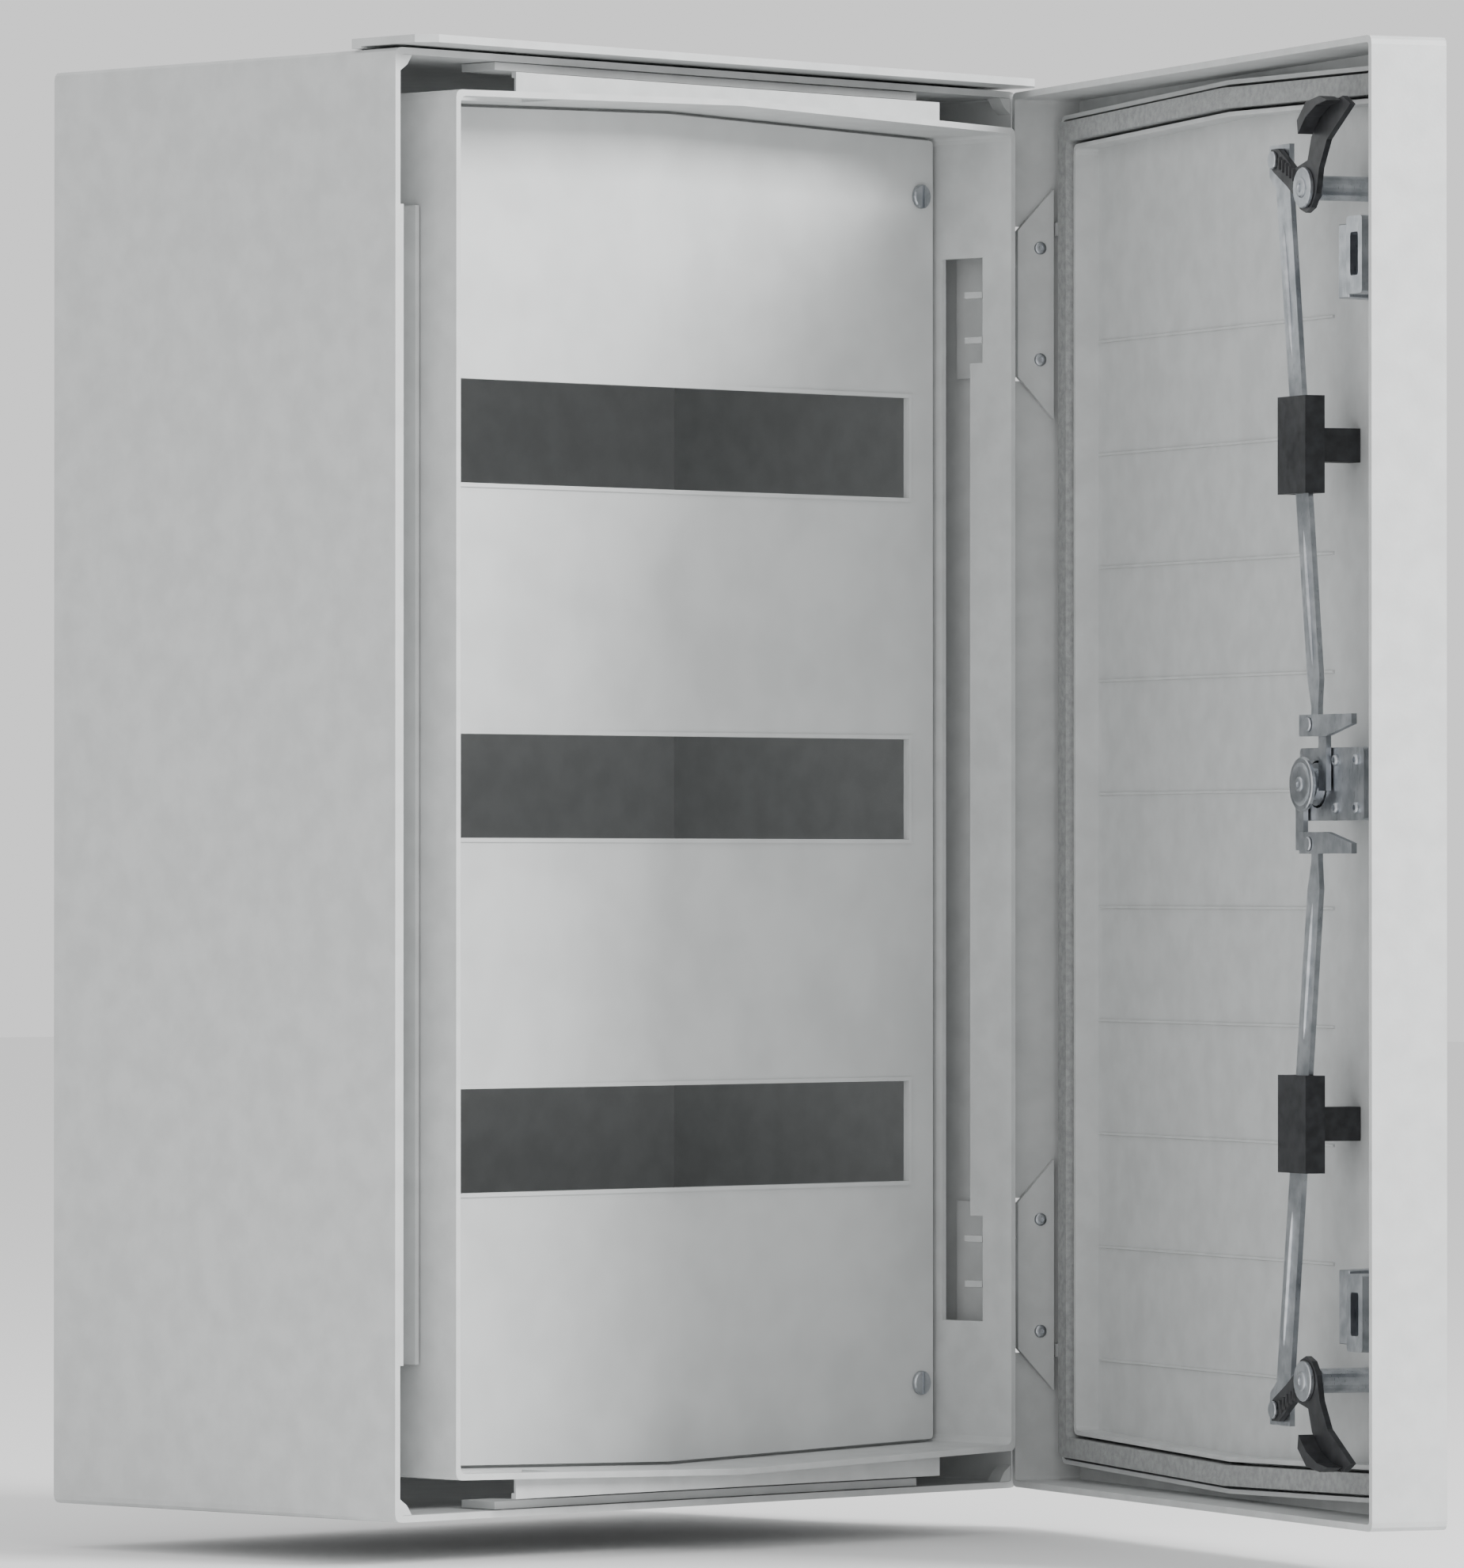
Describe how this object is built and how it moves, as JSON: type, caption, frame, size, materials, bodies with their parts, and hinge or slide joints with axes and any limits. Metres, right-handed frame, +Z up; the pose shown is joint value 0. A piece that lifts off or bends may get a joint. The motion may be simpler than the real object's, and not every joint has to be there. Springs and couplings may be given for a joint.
{
  "type": "wall enclosure with hinged door",
  "caption": "Wall-mounted moulded enclosure with open door on two hinges, windowed inner cover on a piano hinge and a three-point door latch.",
  "frame": {"origin": "centre of the back wall's outer face, which lies on the wall", "axes": "+X to the right seen from the front, +Y into the wall, +Z up"},
  "size_m": [0.4296, 0.598, 0.6548],
  "materials": {
    "polyester_grey": "moulded glass-reinforced polyester, light grey, fine satin grain",
    "cover_plastic": "moulded thermoplastic, pale grey, satin",
    "bright_steel": "zinc-plated pressed steel, bright",
    "black_plastic": "black moulded polyamide",
    "foam_gasket": "foamed-in polyurethane gasket, grey"
  },
  "bodies": {
    "cabinet": {"bottom_ledge": "polyester_grey", "enclosure_box": "polyester_grey", "frame_post_lower_left": "polyester_grey", "frame_post_lower_right": "polyester_grey", "frame_post_upper_left": "polyester_grey", "frame_post_upper_right": "polyester_grey", "frame_screw_lower_left": "bright_steel", "frame_screw_lower_right": "bright_steel", "frame_screw_upper_left": "bright_steel", "frame_screw_upper_right": "bright_steel", "hinge_bracket_lower": "polyester_grey", "hinge_bracket_upper": "polyester_grey", "hinge_pin_lower": "bright_steel", "hinge_pin_upper": "bright_steel", "inner_frame": "polyester_grey", "keeper_strip": "polyester_grey", "piano_leaf_frame": "bright_steel", "piano_pin": "bright_steel", "rain_hood": "polyester_grey", "top_ledge": "polyester_grey"},
    "door": {"door_gasket": "foam_gasket", "door_shell": "polyester_grey", "door_tab_lower": "polyester_grey", "door_tab_upper": "polyester_grey", "hinge_wing_lower": "polyester_grey", "hinge_wing_upper": "polyester_grey", "latch_bracket_lower": "bright_steel", "latch_bracket_upper": "bright_steel", "latch_pivot_lower": "bright_steel", "latch_pivot_upper": "bright_steel", "lock_case": "bright_steel", "rod_guide_lower": "black_plastic", "rod_guide_upper": "black_plastic"},
    "cover": {"cover_plate": "cover_plastic", "piano_leaf_cover": "bright_steel"},
    "cover_screw_upper": {"cover_screw_upper": "bright_steel"},
    "cover_screw_lower": {"cover_screw_lower": "bright_steel"},
    "lock": {"lock_insert": "bright_steel"},
    "upper_rod": {"lock_rack_upper": "bright_steel", "lock_rod_upper": "bright_steel", "rod_rivet_upper": "bright_steel"},
    "lower_rod": {"lock_rack_lower": "bright_steel", "lock_rod_lower": "bright_steel", "rod_rivet_lower": "bright_steel"},
    "upper_hook": {"crank_pin_upper": "bright_steel", "latch_claw_upper": "black_plastic", "latch_hook_upper": "black_plastic"},
    "lower_hook": {"crank_pin_lower": "bright_steel", "latch_claw_lower": "black_plastic", "latch_hook_lower": "black_plastic"}
  },
  "joints": [
    {"name": "door_hinge", "type": "hinge", "parent": "cabinet", "child": "door", "pos_m": [0.1965, -0.224, 0], "axis": [0, 0, 1], "range_deg": [-66.5, 33.5]},
    {"name": "cover_hinge", "type": "hinge", "parent": "cabinet", "child": "cover", "pos_m": [-0.172, -0.1975, 0], "axis": [0, 0, -1], "range_deg": [0, 90]},
    {"name": "cover_screw_upper_turn", "type": "hinge", "parent": "cover", "child": "cover_screw_upper", "pos_m": [0.166, -0.195, 0.276], "axis": [0, -1, 0], "range_deg": [0, 90]},
    {"name": "cover_screw_lower_turn", "type": "hinge", "parent": "cover", "child": "cover_screw_lower", "pos_m": [0.166, -0.195, -0.276], "axis": [0, -1, 0], "range_deg": [0, 90]},
    {"name": "lock_turn", "type": "hinge", "parent": "door", "child": "lock", "pos_m": [0.0697, -0.51563, 0], "axis": [0.9171, -0.3987, 0], "range_deg": [0, 90]},
    {"name": "upper_rod_slide", "type": "slide", "parent": "door", "child": "upper_rod", "axis": [0, 0, 1], "range_m": [-0.0111, 0]},
    {"name": "lower_rod_slide", "type": "slide", "parent": "door", "child": "lower_rod", "axis": [0, 0, 1], "range_m": [0, 0.0111]},
    {"name": "upper_hook_turn", "type": "hinge", "parent": "door", "child": "upper_hook", "pos_m": [0.0693, -0.51654, 0.262], "axis": [0.9171, -0.3987, 0], "range_deg": [-18.5, 0]},
    {"name": "lower_hook_turn", "type": "hinge", "parent": "door", "child": "lower_hook", "pos_m": [0.0693, -0.51654, -0.262], "axis": [0.9171, -0.3987, 0], "range_deg": [0, 18.5]}
  ],
  "couplings": [
    {"joint": "upper_rod_slide", "follows": "lock_turn", "m_per_rad": -0.007},
    {"joint": "lower_rod_slide", "follows": "lock_turn", "m_per_rad": 0.007},
    {"joint": "upper_hook_turn", "follows": "lock_turn", "ratio": -0.2024},
    {"joint": "lower_hook_turn", "follows": "lock_turn", "ratio": 0.2024}
  ]
}
